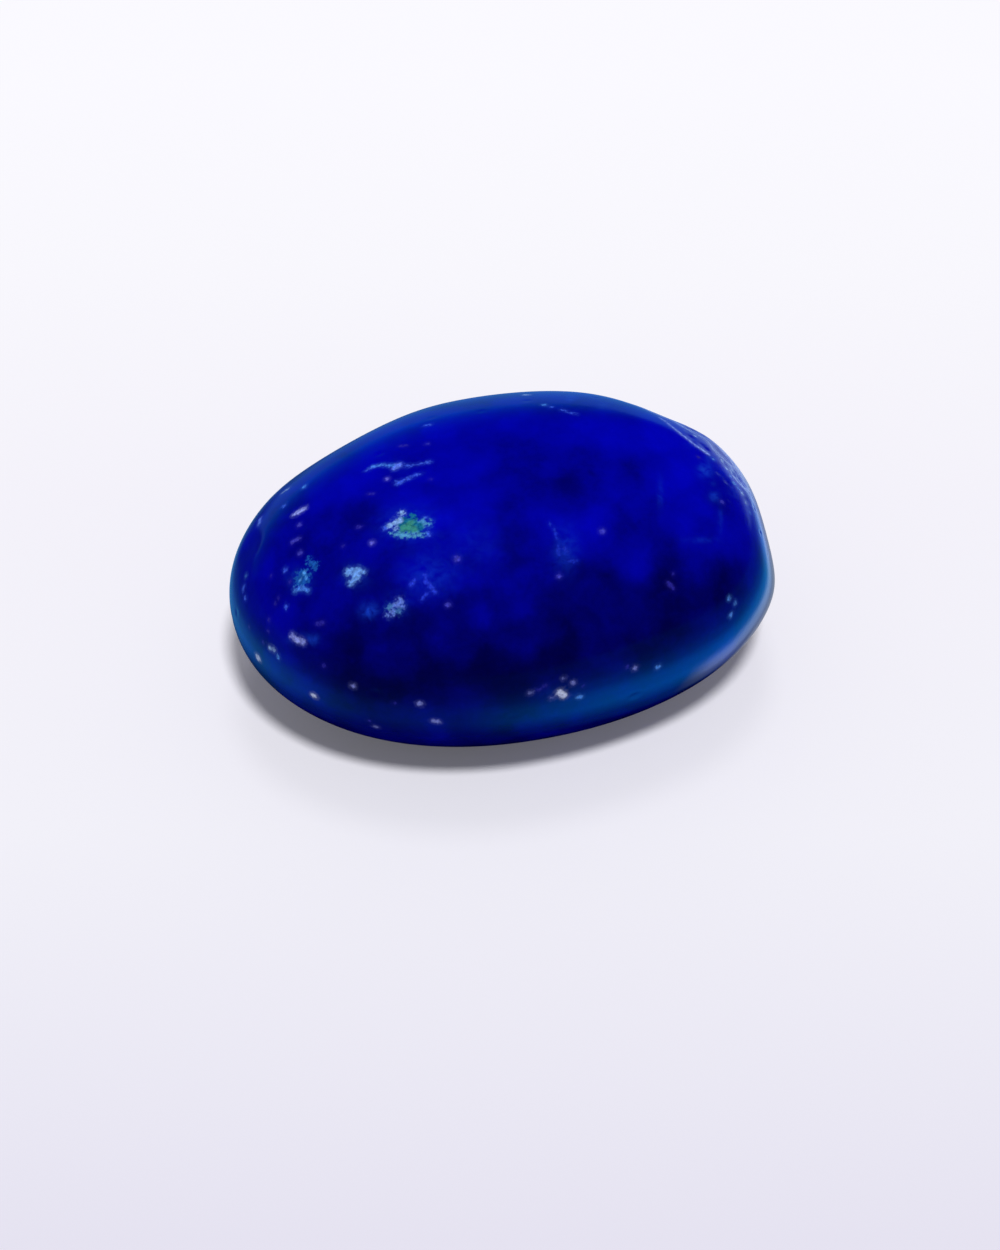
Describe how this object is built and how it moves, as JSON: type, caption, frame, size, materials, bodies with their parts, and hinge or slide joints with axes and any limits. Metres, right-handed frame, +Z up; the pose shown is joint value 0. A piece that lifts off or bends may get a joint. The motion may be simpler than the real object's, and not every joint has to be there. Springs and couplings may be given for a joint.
{
  "type": "tumbled lapis lazuli stone",
  "caption": "Tumble-polished lapis lazuli pebble: a thick rounded oval of deep blue stone with pale mineral flecks, lying on its worn belly.",
  "frame": {"origin": "on the resting surface, under the middle of the stone's bounding box", "axes": "+X along the stone's length towards its broader end, +Y across its width, +Z up through its thickness"},
  "size_m": [0.028, 0.02, 0.014],
  "materials": {
    "polished_lapis": "tumble polish, glassy, with a few shallow chips and pits"
  },
  "bodies": {
    "root": {"lapis_stone": "polished_lapis"}
  },
  "joints": []
}
